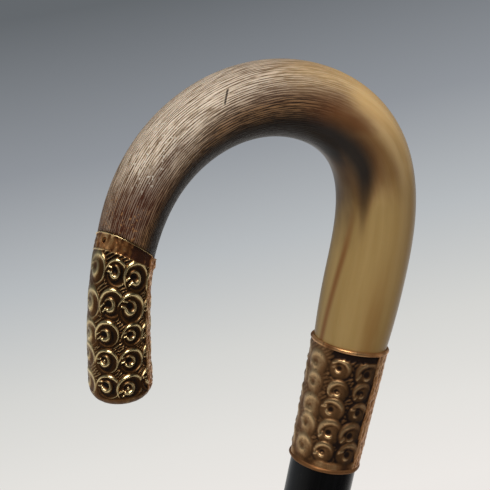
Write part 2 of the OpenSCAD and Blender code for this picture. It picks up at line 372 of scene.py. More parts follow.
def boss(x, y, temper):
    """Height of one of the collar's scrolls at a place from its middle, where its edge is 1 away.

    It is a round boss with a stout crescent over its top and right. A groove parts the crescent
    from the middle, where a short hook curls under a pit or a pearl. Bars run in from the left.
    """
    out = np.hypot(x, y)
    lap = clockwise(200 + 16 * temper, x, y)
    rim_width = swell(
        lap, (0, 0.08), (0.12, 0.18), (0.32, 0.33), (0.5, 0.28), (0.68, 0.14), (1, 0.08))
    # The rim stands lower to the lower right, and the colour follows the height: partly shape, partly
    # painted shade.
    rim_height_and_shade = swell(
        lap, (0, 0.3), (0.1, 0.7), (0.3, 0.9), (0.44, 0.8), (0.58, 0.5), (0.7, 0.2), (1, 0.2))
    rim = rim_height_and_shade * ridge(out - 0.75, rim_width, 2.2)
    # The dome leans up to the upper left and down to the lower right, shaping it and darkening the
    # colour there as painted shade.
    body = (0.56 + 0.1 * y - 0.1 * x) * np.sqrt(np.clip(1 - (out / 1.04) ** 2, 0, 1))
    groove = ridge(out - 0.46, 0.1) * between(lap, 0.04, 0.16, 0.34, 0.5)

    hook_x = x + 0.1
    hook_y = y + 0.08
    hook_out = np.hypot(hook_x, hook_y)
    hook_lap = -clockwise(170, hook_x, hook_y) % 1
    hook_width = swell(hook_lap, (0, 0.1), (0.24, 0.17), (0.4, 0.13), (0.62, 0.07), (1, 0.1))
    hook_height = swell(
        hook_lap, (0, 0.5), (0.1, 0.95), (0.24, 1), (0.38, 0.8), (0.5, 0.4), (0.62, 0.1),
        (0.94, 0.1), (1, 0.5))
    hook = hook_height * ridge(hook_out - 0.26, hook_width)
    pit = eased(np.hypot(hook_x, hook_y - 0.12), 0.3, 0.12)
    pearl = 0.8 * np.sqrt(np.clip(1 - (hook_out / 0.13) ** 2, 0, 1)) * (temper > 0.6)

    bars = bars_at_left(x, y, temper, lap, 0.5, 13, 0.95)
    ground = np.maximum(body * (1 - 0.85 * np.maximum(pit, groove)), bars)
    return np.maximum(np.maximum(ground, rim), np.maximum(hook, pearl))


def scrollwork(column, row, columns, rows, pitch, reach, bars, one, seed):
    """Height of the struck pattern, from 0 in its hollows to 1 on its crests.

    column and row count scrolls, whole at their middles, and row 0 is the top row. pitch is how
    far apart scrolls stand across and down, and reach is the radius of one, in millimetres. Each
    is drawn by the function one and lies over the foot of the scroll above it. Slanting bars fill
    the gaps, closer for a higher value of bars.
    """
    hand = np.random.default_rng(seed).uniform(-1, 1, (rows, columns, 5))
    nearest = np.full(column.shape, 9.0)
    fans = np.zeros(column.shape)
    struck = []
    for step in (-1, 0, 1):
        for side in (-1, 0, 1):
            at_column = np.round(column).astype(int) + side
            at_row = np.round(row).astype(int) + step
            cut = hand[np.clip(at_row, 0, rows - 1), at_column % columns]
            right = (column - at_column) * pitch[0] - SCROLL_STRAY * cut[..., 0]
            up = (at_row - row) * pitch[1] - SCROLL_STRAY * cut[..., 1]
            lean = SCROLL_LEAN * cut[..., 2]
            size = reach * (1 + SCROLL_SPREAD * cut[..., 3])
            x = (right * np.cos(lean) - up * np.sin(lean)) / size
            y = (right * np.sin(lean) + up * np.cos(lean)) / size
            out = np.hypot(x, y) + 9 * ((at_row < 0) | (at_row >= rows))
            fan = np.cos((bars + cut[..., 4]) * (up - 0.7 * right))
            fans = np.where(out < nearest, fan, fans)
            nearest = np.minimum(out, nearest)
            struck.append((1 - eased(out, *SCROLL_EDGE), one(x, y, cut[..., 4])))
    height = 0.32 + 0.26 * fans * eased(row, rows - 0.6, rows - 1)
    height = height * eased(nearest, *SCROLL_EDGE)
    for cover, own in struck:
        height = height * (1 - cover) + own * cover
    return height


def softened(height, passes):
    """The height blurred over its neighbours, which tells a hollow from an open place."""
    for _ in range(passes):
        beside = np.roll(height, 1, 1) + np.roll(height, -1, 1)
        above = np.vstack([height[:1], height[:-1]]) + np.vstack([height[1:], height[-1:]])
        height = (2 * height + beside + above) / 6
    return height


def ripple(angle, along, seed, finest=24):
    """Small hand-made unevenness round and along a tube, about -1 to 1."""
    source = np.random.default_rng(seed)
    total = np.zeros(np.broadcast(angle, along).shape)
    waves = 14
    for _ in range(waves):
        round_it = source.integers(2, finest)
        lengthwise = source.uniform(-1.5, 1.5)
        total += np.cos(round_it * angle + lengthwise * along + source.uniform(0, 6.3))
    return total / math.sqrt(waves * 2)


def pitting(shape, seed):
    """Small even pits over a grid of points, about -1 to 1."""
    pits = softened(np.random.default_rng(seed).uniform(-1, 1, shape), 7)
    return pits / (2 * pits.std())


def worn_smooth(struck, degrees, middle, reach, share):
    """The struck height where hands have rubbed it smooth, round a middle angle."""
    rubbed = share * eased(np.abs(degrees - middle), reach, 0.4 * reach)
    return struck * (1 - rubbed) + (0.32 + 0.85 * softened(struck, 60)) * rubbed


def into_scene(name, data):
    made = bpy.data.objects.new(name, data)
    bpy.context.scene.collection.objects.link(made)
    return made


def skin_mesh(name, rings, closed, finish, **marks):
    """A skin through rings of points, in millimetres, with a value a point for each mark.

    Closed, its last ring meets its first; otherwise both end in a pole. The finish reads the marks.
    """
    count, sides = rings.shape[:2]
    joined = count if closed else count - 1
    ring, side = np.meshgrid(np.arange(joined), np.arange(sides), indexing="ij")
    here = ring * sides
    after = (ring + 1) % count * sides
    beside = (side + 1) % sides
    faces = np.stack([here + side, here + beside, after + beside, after + side], -1)
    mesh = bpy.data.meshes.new(name)
    mesh.from_pydata((rings * MM).reshape(-1, 3), [], faces.reshape(-1, 4))
    for mark, values in marks.items():
        layer = mesh.attributes.new(mark, "FLOAT", "POINT")
        layer.data.foreach_set("value", np.ascontiguousarray(values, np.float32).ravel())
    if not closed:
        drawn = bmesh.new()
        drawn.from_mesh(mesh)
        bmesh.ops.remove_doubles(drawn, verts=drawn.verts, dist=0.000001)
        bmesh.ops.dissolve_degenerate(drawn, edges=drawn.edges, dist=0.0000005)
        drawn.to_mesh(mesh)
        drawn.free()
    mesh.shade_smooth()
    mesh.materials.append(finish.material)
    return into_scene(name, mesh)


def place_piece(piece, node):
    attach(piece, "root")
    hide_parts(node)


def gold_plated_sheet(name, hollow, slope, crest, bright_from, dullness, crispness):
    """Bright pale gold on the crests, bronze on the slopes and brown dirt in the hollows.

    bright_from is the height at which the crests' colour is reached. dullness is added to the
    roughness, and crispness is how far the relief is deepened in the shading.
    """
    gold = Finish(name)
    height = gold.attribute("height")
    coppery = gold.attribute("coppery")
    mottle = gold.noise(gold.place, 900, 5, 0.6)
    cloud = gold.noise(gold.place, 160)
    scratches, smudges = gold.handling(4500, 220)
    worn = gold.maths("ADD", height, gold.maths("MULTIPLY_ADD", mottle, 0.3, -0.15))
    worn = gold.maths("MULTIPLY_ADD", gold.attribute("open"), 0.5, worn)
    plate = gold.ramp(worn, (0.05, *hollow), (0.55 * bright_from, *slope), (bright_from, *crest))
    bare = gold.times(coppery, gold.fade(cloud, 0.35, 0.65, 0.5, 0.95))
    copper = gold.ramp(worn, (0.2, 78, 42, 22), (0.85, 210, 142, 84))
    stained = gold.mix(
        gold.fade(mottle, 0.56, 0.72, 0, 0.65), gold.mix(bare, plate, copper), tint(70, 42, 26))
    scratched = gold.times(scratches, gold.fade(worn, 0.4, 0.8, 0, 0.4))
    clean = gold.fade(worn, 0, 0.3, 0.7, 1)
    shine = gold.fade(worn, 0.25, 0.9, 0.5 + dullness, 0.2 + dullness)
    gold.shade(
        Base_Color=gold.mix(scratched, stained, tint(226, 190, 140)),
        Metallic=gold.times(clean, gold.fade(bare, 0, 1, 1, 0.75)),
        Roughness=gold.maths("ADD", shine, gold.maths("MULTIPLY_ADD", smudges, 0.2, -0.1)),
        Normal=gold.bump(mottle, 0.00005, 0.6, gold.bump(height, crispness)))
    return gold


collar_gold = gold_plated_sheet(
    "collar_gold", (40, 26, 19), (146, 108, 74), (246, 206, 152), 0.97, 0.14, 0.0002)


def collar_pattern(z, turn):
    """Height of the collar's sheet, the painted shade on its right side, and how coppery it has rubbed.
    """
    degrees = np.degrees(turn)
    column = (degrees - COLLAR_COLUMN_AT) / (360 / COLLAR_COLUMNS)
    row = (COLLAR_TOP_ROW_Z - z) / COLLAR_ROW_H
    pitch = (2 * math.pi * np.mean(COLLAR_BODY_R) / COLLAR_COLUMNS, COLLAR_ROW_H)
    struck = scrollwork(
        column, row, COLLAR_COLUMNS, COLLAR_ROWS, pitch, reach=4.1, bars=4.2, one=boss, seed=11)
    # Round 178 degrees the sheet is rubbed smooth and its colour brightened: partly wear, partly
    # painted light on the side facing the lamp.
    struck = worn_smooth(softened(struck, 3), degrees, 178, 38, 0.8)
    wave = ripple(turn, z, 5, 50)
    lip_z = COLLAR_BODY_Z[1]
    # Under the lip, over the right half, the sheet sinks to its back and takes the hollows' dark
    # colour: a recess, and painted shade under the lip.
    under_lip = eased(z, lip_z - 2.6, lip_z - 1.4 + 0.4 * wave)
    under_lip = under_lip * between(degrees, 204, 218, 334, 352)
    roll = ripple(turn, 0.3 * z, 16, 12)
    foot_band = eased(z, 3.9 + 0.6 * roll, 2.6 + 0.6 * roll)
    struck = struck * (1 - under_lip) * (1 - foot_band) + (0.58 + 0.42 * roll) * foot_band
    lap_edge = COLLAR_LAP[0] + 2 * wave
    lapped = between(degrees, lap_edge - 1, lap_edge + 1, COLLAR_LAP[1] - 1, COLLAR_LAP[1] + 1)
    pitted = 0.72 + 0.12 * pitting(turn.shape, 15) + 0.12 * wave
    height = struck * (1 - lapped) + pitted * lapped
    height = height + 0.02 * ripple(turn, z, 6, 60)
    # Painted shade: over the right side, turned from the lamp, only the colour is darkened, not the
    # sheet.
    right_side_shade = 0.22 * between(degrees, 214, 280, 326, 358) * (1 - lapped)
    return height, right_side_shade, 0.9 * lapped + 0.35 * foot_band * (1 - lapped)


def rolled_edge(axis_r, axis_z, edge_r, start, stop, dent):
    """Radius and level of rings over a rolled edge, from one angle of its section to another."""
    rings = []
    for at in np.radians(np.linspace(start, stop, 12)):
        outwards = axis_r + edge_r * math.cos(at) + dent * max(0, math.cos(at))
        rings.append((outwards, axis_z + edge_r * math.sin(at)))
    return rings


def rings_of(value, count):
    """One value for each point of a count of the collar's rings."""
    return np.full((count, COLLAR_SIDES), value)


def collar_mesh():
    angle = np.linspace(0, 2 * math.pi, COLLAR_SIDES, endpoint=False)
    body_z = np.linspace(*COLLAR_BODY_Z, COLLAR_BODY_RINGS)
    z, turn = np.meshgrid(body_z, angle, indexing="ij")
    height, right_side_shade, coppery = collar_pattern(z, turn)
    sunk = COLLAR_DEPTH * (1 - np.clip(height, 0, 1.05))
    body_r = np.interp(z, COLLAR_BODY_Z, COLLAR_BODY_R) - sunk

    dent = -0.07 * (1 + np.clip(ripple(angle, 0 * angle, 7, 12), -1, 1))
    foot = [(SHAFT_BORE_R, 0)] + rolled_edge(BEAD_AXIS, BEAD_R, BEAD_R, -90, 60, 2 * dent)
    lip = rolled_edge(LIP_AXIS, COLLAR_H - LIP_R, LIP_R, -60, 90, 1.4 * dent)
    inside = [
        (HORN_BORE_R, COLLAR_H),
        (HORN_BORE_R, COLLAR_BODY_Z[1]),
        (COLLAR_BODY_R[1] - COLLAR_BACK, COLLAR_BODY_Z[1] - 0.02),
        (COLLAR_BODY_R[0] - COLLAR_BACK, COLLAR_BODY_Z[0] + 0.02),
        (SHAFT_BORE_R, COLLAR_BODY_Z[0])]
    outline = foot + list(zip(body_r, body_z)) + lip + inside
    reach = np.array([radius + 0 * angle for radius, _ in outline])
    level = np.array([level + 0 * angle for _, level in outline])
    rings = np.stack([reach * np.cos(angle), reach * np.sin(angle), COLLAR_FOOT_Z + level], -1)

    lip_height = rings_of(0.8, len(lip)) + 0.3 * ripple(angle, 0 * angle, 13, 16)
    beyond = len(lip) + len(inside)
    # The height mark carries the painted shade of the right side; the sheet's shape does not.
    return skin_mesh(
        "embossed_collar", rings, True, collar_gold,
        height=np.vstack([rings_of(0.5, len(foot)), height - right_side_shade, lip_height,
                          rings_of(0.6, 1), rings_of(0.3, len(inside) - 1)]),
        open=np.vstack([rings_of(0, len(foot)), height - softened(height, 30), rings_of(0, beyond)]),
        coppery=np.vstack([rings_of(0.6, len(foot)), coppery, rings_of(0.9, beyond)]))


place_piece(collar_mesh(), "collar_shell")


# Horn crook: one horn, steamed, bent round a former and scraped to shape. It was polished to amber
# at the shaft and left fibrous towards the nose. Its foot has a tenon for the collar and a bore for
# the dowel, and its tip is cut down to fit inside the nose cap.
HORN_SEAT_Z = 818.7
JOINT_Z = 804.7
RISE_LEN = 21.3
SHOULDER_AT = RISE_LEN + 40.5
CROWN_AT = SHOULDER_AT + 24.5
TAIL_AT = CROWN_AT + 51.7
NOSE_AT = TAIL_AT + 42.5
SHOULDER_R = 27.6
CROWN_R = 42
NOSE_R = 210
CROOK_LEN = 202.3
CAP_AT = CROOK_LEN - 42.7
CAP_TUBE_END = CROOK_LEN - 4.5
CAP_SLANT = 3.7
CAP_SLANT_TURN = math.radians(-36)
SLANT_FADE = 20
HORN_FOOT_R = 11.2
FOOT_LEN = 1.3
HORN_SWELL_R = 12
HORN_NOSE_R = 7.95
HORN_TAPER = 1.57
HORN_END = CAP_TUBE_END - 3
HORN_TIP_R = (7.35, 7)
TENON_R = 9.2
BORE_R = 3.1
BORE_TOP = 14.6
PATH_STEP = 0.25
HORN_SIDES = 160


def midway(values):
    """The values halfway from each to the next."""
    return (values[1:] + values[:-1]) / 2


def added_up(slopes):
    """What slopes, one for each step of the path, add up to at its points."""
    return np.concatenate([[0], np.cumsum(slopes)]) * PATH_STEP


path_along = np.arange(JOINT_Z - HORN_SEAT_Z, CROOK_LEN + 2 * PATH_STEP, PATH_STEP)
path_bend = np.interp(
    path_along,
    [RISE_LEN, SHOULDER_AT, CROWN_AT, TAIL_AT, NOSE_AT],
    [0, 1 / SHOULDER_R, 1 / CROWN_R, 1 / CROWN_R, 1 / NOSE_R])
path_heading = added_up(midway(path_bend))
path_x = -added_up(np.sin(midway(path_heading)))
path_z = JOINT_Z + added_up(np.cos(midway(path_heading)))


def horn_profile():
    """The horn's outline as radius and distance along its middle line, from its bore to its tip."""
    joint = JOINT_Z - HORN_SEAT_Z
    bored = [(0, BORE_TOP), (BORE_R, BORE_TOP), (BORE_R, joint), (TENON_R, joint), (TENON_R, 0)]
    rise_at = np.linspace(0, RISE_LEN, 16)
    share = np.clip((rise_at - FOOT_LEN) / (RISE_LEN - FOOT_LEN), 0, 1)
    rise_r = HORN_FOOT_R + (HORN_SWELL_R - HORN_FOOT_R) * share * (2 - share)
    bend_at = np.linspace(RISE_LEN, CAP_AT, 116)[1:]
    share = (bend_at - RISE_LEN) / (CAP_AT - RISE_LEN)
    bend_r = HORN_SWELL_R - (HORN_SWELL_R - HORN_NOSE_R) * share ** HORN_TAPER
    tip_at = np.linspace(CAP_AT, HORN_END, 10)
    tip_r = np.linspace(*HORN_TIP_R, 10)
    skin = [*zip(rise_r, rise_at), *zip(bend_r, bend_at), *zip(tip_r, tip_at)]
    return bored + skin + [(0, HORN_END)]


def name_rod_sockets(tree):
    for kind, names in (
            ("Geometry", ("Middle line",)), ("Object", ("Outline",)), ("Int", ("Sides",)),
            ("Float", ("Line start", "Rim", "Slant", "Slant turn", "Fade")),
            ("Material", ("Finish",))):
        for name in names:
            tree.interface.new_socket(name, in_out="INPUT", socket_type="NodeSocket" + kind)
    tree.interface.new_socket("Rod", in_out="OUTPUT", socket_type="NodeSocketGeometry")


def finished_rod(rod, geometry, spot, grain, finish):
    """The geometry with its grain stored, moved to its spots, joined up, smooth and finished."""
    skin = rod.add(
        "GeometryNodeStoreNamedAttribute",
        {"Geometry": geometry, "Name": "grain", "Value": grain},
        data_type="FLOAT_VECTOR", domain="POINT")
    for kind, inputs in (
            ("SetPosition", {"Position": spot}),
            ("MergeByDistance", {"Distance": 0.000002}),
            ("SetShadeSmooth", {}),
            ("RealizeInstances", {}),
            ("SetMaterial", {"Material": finish})):
        inputs["Geometry"] = skin.outputs["Geometry"]
        skin = rod.add("GeometryNode" + kind, inputs)
    return skin.outputs["Geometry"]


def bent_rod_tree():
    """Geometry nodes that sweep an outline round and along a bent middle line.

    Every ring is square to the line. Near the rim the rings slant, as far as the fade reaches.
    """
    tree = bpy.data.node_groups.new("bent_rod", "GeometryNodeTree")
    name_rod_sockets(tree)
    rod = Nodes(tree)
    given = rod.add("NodeGroupInput").outputs

    outline = rod.add("GeometryNodeObjectInfo", {"Object": given["Outline"]}).outputs["Geometry"]
    size = rod.add("GeometryNodeAttributeDomainSize", {"Geometry": outline}, component="MESH")
    rings = size.outputs["Point Count"]
    grid = rod.add("GeometryNodeMeshGrid", {
        "Size X": 1, "Size Y": 1, "Vertices X": rings,
        "Vertices Y": rod.maths("ADD", given["Sides"], 1)})
    position = rod.add("GeometryNodeInputPosition").outputs[0]
    corner = rod.split(position)
    last = rod.maths("SUBTRACT", rings, 1)
    ring = rod.maths("ROUND", rod.times(rod.maths("ADD", corner["X"], 0.5), last))
    turn = rod.times(rod.maths("ADD", corner["Y"], 0.5), 2 * math.pi)
    drawn = rod.add(
        "GeometryNodeSampleIndex", {"Geometry": outline, "Value": position, "Index": ring},
        data_type="FLOAT_VECTOR")
    profile = rod.split(drawn.outputs["Value"])

    from_rim = rod.maths("ABSOLUTE", rod.maths("SUBTRACT", profile["Z"], given["Rim"]))
    near_rim = rod.maths("SUBTRACT", 1, rod.maths("DIVIDE", from_rim, given["Fade"]))
    lean = rod.maths("COSINE", rod.maths("SUBTRACT", turn, given["Slant turn"]))
    shift = rod.times(given["Slant"], lean, rod.maths("MAXIMUM", near_rim, 0))
    along = rod.maths("SUBTRACT", profile["Z"], shift)

    line = rod.add("GeometryNodeMeshToCurve", {"Mesh": given["Middle line"]}).outputs["Curve"]
    length = rod.maths("SUBTRACT", along, given["Line start"])
    sample = rod.add("GeometryNodeSampleCurve", {"Curves": line, "Length": length}, mode="LENGTH")
    outwards = rod.vector("CROSS_PRODUCT", (0, 1, 0), sample.outputs["Tangent"])
    out = rod.times(profile["X"], rod.maths("COSINE", turn))
    side = rod.times(profile["X"], rod.maths("SINE", turn))
    scaled = rod.add(
        "ShaderNodeVectorMath", {"Vector": outwards, "Scale": out}, operation="SCALE").outputs[0]
    sideways = rod.add("ShaderNodeCombineXYZ", {"Y": side}).outputs[0]
    spot = rod.vector("ADD", rod.vector("ADD", sample.outputs["Position"], scaled), sideways)

    grain = rod.add("ShaderNodeCombineXYZ", {"X": out, "Y": side, "Z": along}).outputs[0]
    skin = finished_rod(rod, grid.outputs["Mesh"], spot, grain, given["Finish"])
    rod.add("NodeGroupOutput", {"Rod": skin})
    return tree


def line_object(name, points):
    """A chain of edges through points, in millimetres, for the nodes to read."""
    mesh = bpy.data.meshes.new(name)
    edges = [(i, i + 1) for i in range(len(points) - 1)]
    mesh.from_pydata([[c * MM for c in point] for point in points], edges, [])
    return into_scene(name, mesh)


def grown(name, line, tree, **inputs):
    """A plain mesh object from what the tree makes of a line; the line object becomes the piece."""
    modifier = line.modifiers.new(name, "NODES")
    modifier.node_group = tree
    for item in tree.interface.items_tree:
        wanted = item.name.replace(" ", "_")
        if item.in_out == "INPUT" and wanted in inputs:
            modifier[item.identifier] = inputs[wanted]
    evaluated = line.evaluated_get(bpy.context.evaluated_depsgraph_get())
    mesh = bpy.data.meshes.new_from_object(evaluated)
    line.modifiers.remove(modifier)
    line.data = mesh
    line.name = name
    mesh.name = name
    return line


class BentHorn(Finish):
    """The horn's finish: amber where it is polished, grey-brown fibre at the nose, a dark heart, with
    painted sheen and shade.

    It is laid on as one colour over another. A place is told by how far along the middle line it
    lies from the collar, in millimetres, and how far round it from the outside of the bend, in
    degrees. The soft ones of these wander.
    """

    def __init__(self):
        super().__init__(
            "bent_horn", Specular_IOR_Level=0.3, Subsurface_Weight=0.06,
            Subsurface_Radius=(0.004, 0.002, 0.001))
        self.grain = self.attribute("grain", "Vector")
        out, side, along = self.split(self.grain)
        turn = self.maths("ARCTAN2", side, out)
        self.along = self.times(along, 1 / MM)
        self.turn = self.times(turn, 180 / math.pi)
        self.around = self.maths("ABSOLUTE", self.turn)
        clouds = self.drawn_noise(self.grain, (1, 1, 0.35), 110, 3, 0.55)
        self.wander = self.maths("MULTIPLY_ADD", clouds, 30, -15)
        self.soft_along = self.maths("ADD", self.along, self.wander)
        self.soft_around = self.maths("ADD", self.around, self.wander)
        swirl = self.drawn_noise(self.grain, (1, 1, 0.14), 320, 2)
        combed = self.maths("MULTIPLY_ADD", turn, 100, self.times(swirl, 18))
        fuzz = self.drawn_noise(self.grain, (1, 1, 0.055), 3300, 2, 0.6)
        self.fibres = self.maths(
            "MULTIPLY_ADD", self.fade(self.maths("COSINE", combed), -1, 0), 0.24,
            self.maths("SUBTRACT", fuzz, 0.18))
        self.fibrous = self.fade(self.soft_along, 76, 106)
        outside = self.fade(self.along, 118, 138, -28, -44)
        self.outer = self.near(self.turn, outside, 72, 20)

        self.polish()
        self.fray()
        self.darken()
        self.stain_crack()
        cut = self.nick()
        self.fleck()
        rough = self.times(self.fibrous, self.fade(self.fibres, 0.35, 0.6, 0.5, 1))
        furrows = self.times(self.fibres, self.maths("MULTIPLY_ADD", self.fibrous, 0.96, 0.04))
        self.shade(
            Base_Color=self.colour,
            Roughness=self.maths("MULTIPLY_ADD", rough, 0.1, 0.32),
            Normal=self.bump(self.maths("SUBTRACT", furrows, self.times(cut, 1.5)), 0.0003))

    def lay(self, colour, *shares):
        """Lays a colour over those laid before, by the product of the shares."""
        self.colour = self.mix(self.times(*shares), self.colour, colour)

    def polish(self):
        """Olive amber above the collar and honey over the shoulder, browner in two soft patches, darker
        golden over the outside of the rise.
        """
        streaks = self.drawn_noise(self.grain, (1, 1, 0.08), 240, 4)
        self.colour = self.ramp(streaks, (0.3, 160, 131, 81), (0.7, 178, 149, 98))
        honey = self.ramp(streaks, (0.3, 202, 160, 100), (0.7, 238, 202, 146))
        warm_side = self.near(self.maths("ADD", self.turn, self.wander), -102, 24, 0)
        self.lay(tint(136, 94, 48), warm_side, self.fade(self.along, 34, 6, 0, 0.5))
        self.lay(honey, self.fade(self.soft_along, 46, 74))
        # Darker golden over the outside of the rise: partly the horn's tone, partly painted shade on
        # the side turned from the lamp.
        golden_shade = self.fade(self.soft_around, 124, 64)
        self.lay(tint(116, 80, 28), golden_shade, self.fade(self.soft_along, 74, 48, 0, 0.45))
        umber_side = self.near(self.soft_around, 103, 34, 8)
        self.lay(tint(88, 54, 24), umber_side, self.near(self.along, 64, 21, 7), 0.62)

    def fray(self):
        """Fibres towards the nose: pale outside with painted sheen, mauve where they begin, russet at
        the cap.
        """
        fibre = self.ramp(self.fibres, (0.38, 60, 41, 29), (0.5, 134, 108, 86), (0.6, 214, 190, 164))
        # The pale fibres outside are painted sheen, laid where the lamp's broad highlight falls.
        pale = self.ramp(self.fibres, (0.36, 96, 76, 60), (0.45, 202, 181, 157), (0.56, 247, 232, 214))
        painted_sheen = self.times(self.outer, self.span(self.soft_along, 86, 112, 137, 160), 0.75)
        self.lay(self.mix(painted_sheen, fibre, pale), self.fibrous, 0.9)
        mauve_side = self.fade(self.soft_around, 48, 84, 0.12, 0.66)
        self.lay(tint(104, 74, 60), mauve_side, self.span(self.soft_along, 78, 92, 100, 120))
        inwards = self.fade(self.soft_around, 30, 80, 0, 16)
        russet = self.fade(self.maths("ADD", self.soft_along, inwards), 142, 162)
        self.lay(tint(76, 39, 24), russet, self.fade(self.fibres, 0.4, 0.62, 0.98, 0.74))

    def darken(self):
        """The dark heart: a thread up the inside of the rise, and from the shoulder the whole belly,
        part of it painted shade.
        """
        heart_at = self.fade(self.along, 42, 66, 142, 130)
        heart_width = self.fade(self.along, 38, 72, 3, 18)
        off_heart = self.maths("ABSOLUTE", self.maths("SUBTRACT", self.around, heart_at))
        off_heart = self.maths("DIVIDE", off_heart, heart_width)
        # The halo reaches round onto the inner side of the shoulder as painted shade.
        halo_and_shade = self.times(self.fade(off_heart, 3.4, 0.8), self.fade(self.along, 30, 56), 0.65)
        heart = self.times(self.fade(off_heart, 2.1, 0.2), self.fade(self.along, 32, 60))
        bent = self.fade(self.soft_along, 56, 80)
        inwards = self.fade(self.along, 116, 136, 0, -27)
        outwards = self.fade(self.along, 144, 158, 0, 20)
        inner_side = self.maths("ADD", self.soft_around, self.maths("ADD", inwards, outwards))
        # The shaded fibres and the belly are partly the horn's own dark and partly painted shade inside
        # the bend, away from the lamp.
        shaded = self.times(bent, self.fade(inner_side, 61, 94), 0.9)
        belly = self.times(bent, self.fade(self.soft_around, 92, 124))
        threads = self.ramp(self.fibres, (0.42, 48, 31, 19), (0.6, 144, 106, 69))
        brown = self.mix(self.fade(self.soft_along, 84, 100), tint(104, 62, 34), threads)
        self.lay(brown, self.maths("MAXIMUM", halo_and_shade, shaded))
        # Painted shade on the inside of the rise, sheltered under the crook.
        sheltered = self.fade(self.soft_around, 132, 160)
        self.lay(tint(72, 44, 22), sheltered, self.fade(self.soft_along, 26, 56), 0.85)
        self.lay(tint(20, 11, 6), self.maths("MAXIMUM", heart, belly), 0.96)

    def stain_crack(self):
        """The brown stain of a hairline crack, which climbs from the collar with a slight turn."""
        crack_at = self.maths("MULTIPLY_ADD", self.along, 17 / 38.5, -177.1)
        off_crack = self.maths("WRAP", self.maths("SUBTRACT", self.turn, crack_at), 180, -180)
        stain = self.near(off_crack, 0, 9, 0)
        self.lay(tint(126, 78, 40), stain, self.fade(self.along, 52, 26), 0.8)

    def nick(self):
        """A nick across the fibres, with a painted highlight along one edge. Gives how deep it cuts."""
        nick_at = self.maths("MULTIPLY_ADD", self.turn, -3 / 22.5, 107.3)
        off_nick = self.maths("ABSOLUTE", self.maths("SUBTRACT", self.along, nick_at))
        length = self.span(self.turn, -66, -61, -47, -43)
        cut = self.times(self.fade(off_nick, 0.34, 0.08), length)
        # A painted highlight beside the nick, where its edge would catch the light.
        self.lay(tint(222, 204, 178), self.near(off_nick, 0.55, 0.3, 0.1), length, 0.5)
        self.lay(tint(48, 33, 24), cut, 0.85)
        return cut

    def fleck(self):
        """Chalky specks on the side before the cap, and amber ones between the russet fibres."""
        spots = self.drawn_noise(self.grain, (1, 1, 0.9), 1600, 0)
        chalky_side = self.near(self.turn, -48, 34, 16)
        chalky = self.times(self.span(self.along, 126, 131, 141, 147), chalky_side)
        self.lay(tint(222, 212, 194), chalky, self.fade(spots, 0.7, 0.73), 0.9)
        amber = self.times(self.outer, self.fade(self.along, 144, 152))
        self.lay(tint(170, 122, 78), amber, self.fade(spots, 0.3, 0.26), 0.7)


outline_line = line_object("outline", [(r, 0, s) for r, s in horn_profile()])
middle_line = line_object("middle_line", list(zip(path_x, 0 * path_x, path_z)))
horn_crook = grown(
    "bent_horn", middle_line, bent_rod_tree(),
    Outline=outline_line,
    Sides=HORN_SIDES,
    Line_start=(JOINT_Z - HORN_SEAT_Z) * MM,
    Rim=CAP_AT * MM,
    Slant=CAP_SLANT * MM,
    Slant_turn=CAP_SLANT_TURN,
    Fade=SLANT_FADE * MM,
    Finish=BentHorn().material)
bpy.data.objects.remove(outline_line)
place_piece(horn_crook, "horn_crook")


# Nose cap cement: the same shellac cement, poured hot into the cap before it was pushed over the
# tip of the horn. It fills what is left between the two.
dress("nose_cap_cement", cement)


# Nose cap: a sheath of the collar's sheet, rolled round the nose and lapped on its inner side. Its
# plain rim slants across the horn, and its scrolls run down to the domed end.
CAP_RIM_R = 8.25
CAP_END_R = 8.9
CAP_BACK = 0.87
CAP_DEPTH = 0.74
CAP_SIDES = 324
CAP_TURNS = np.linspace(-math.pi, math.pi, CAP_SIDES, endpoint=False)
CAP_COLUMNS = 8
CAP_ROWS = 5
CAP_COLUMN_AT = -57
CAP_TWIST = 0.34
CAP_TOP_ROW = 7.6
CAP_ROW_H = 7.15
CAP_LAP = (-156, -129)
CAP_TUBE_LEN = CAP_TUBE_END - CAP_AT
PIN_INSET = 1.8
PIN_TURN = -20

nose_gold = gold_plated_sheet(
    "nose_gold", (26, 15, 9), (116, 81, 50), (255, 228, 168), 0.93, 0.05, 0.00025)


def crook_skin(along, radius, turn):
    """Points of a skin round the crook's middle line, at a turn from the outside of the bend."""
    heading = np.interp(along, path_along, path_heading)
    out = radius * np.cos(turn)
    x = np.interp(along, path_along, path_x) + out * np.cos(heading)
    z = np.interp(along, path_along, path_z) + out * np.sin(heading)
    return np.stack([x, radius * np.sin(turn), z], -1)


def slanted(along, turn):
    """How far along the crook a point lies once the rings near the rim are slanted."""
    near_rim = np.maximum(0, 1 - np.abs(along - CAP_AT) / SLANT_FADE)
    return along - CAP_SLANT * np.cos(turn - CAP_SLANT_TURN) * near_rim


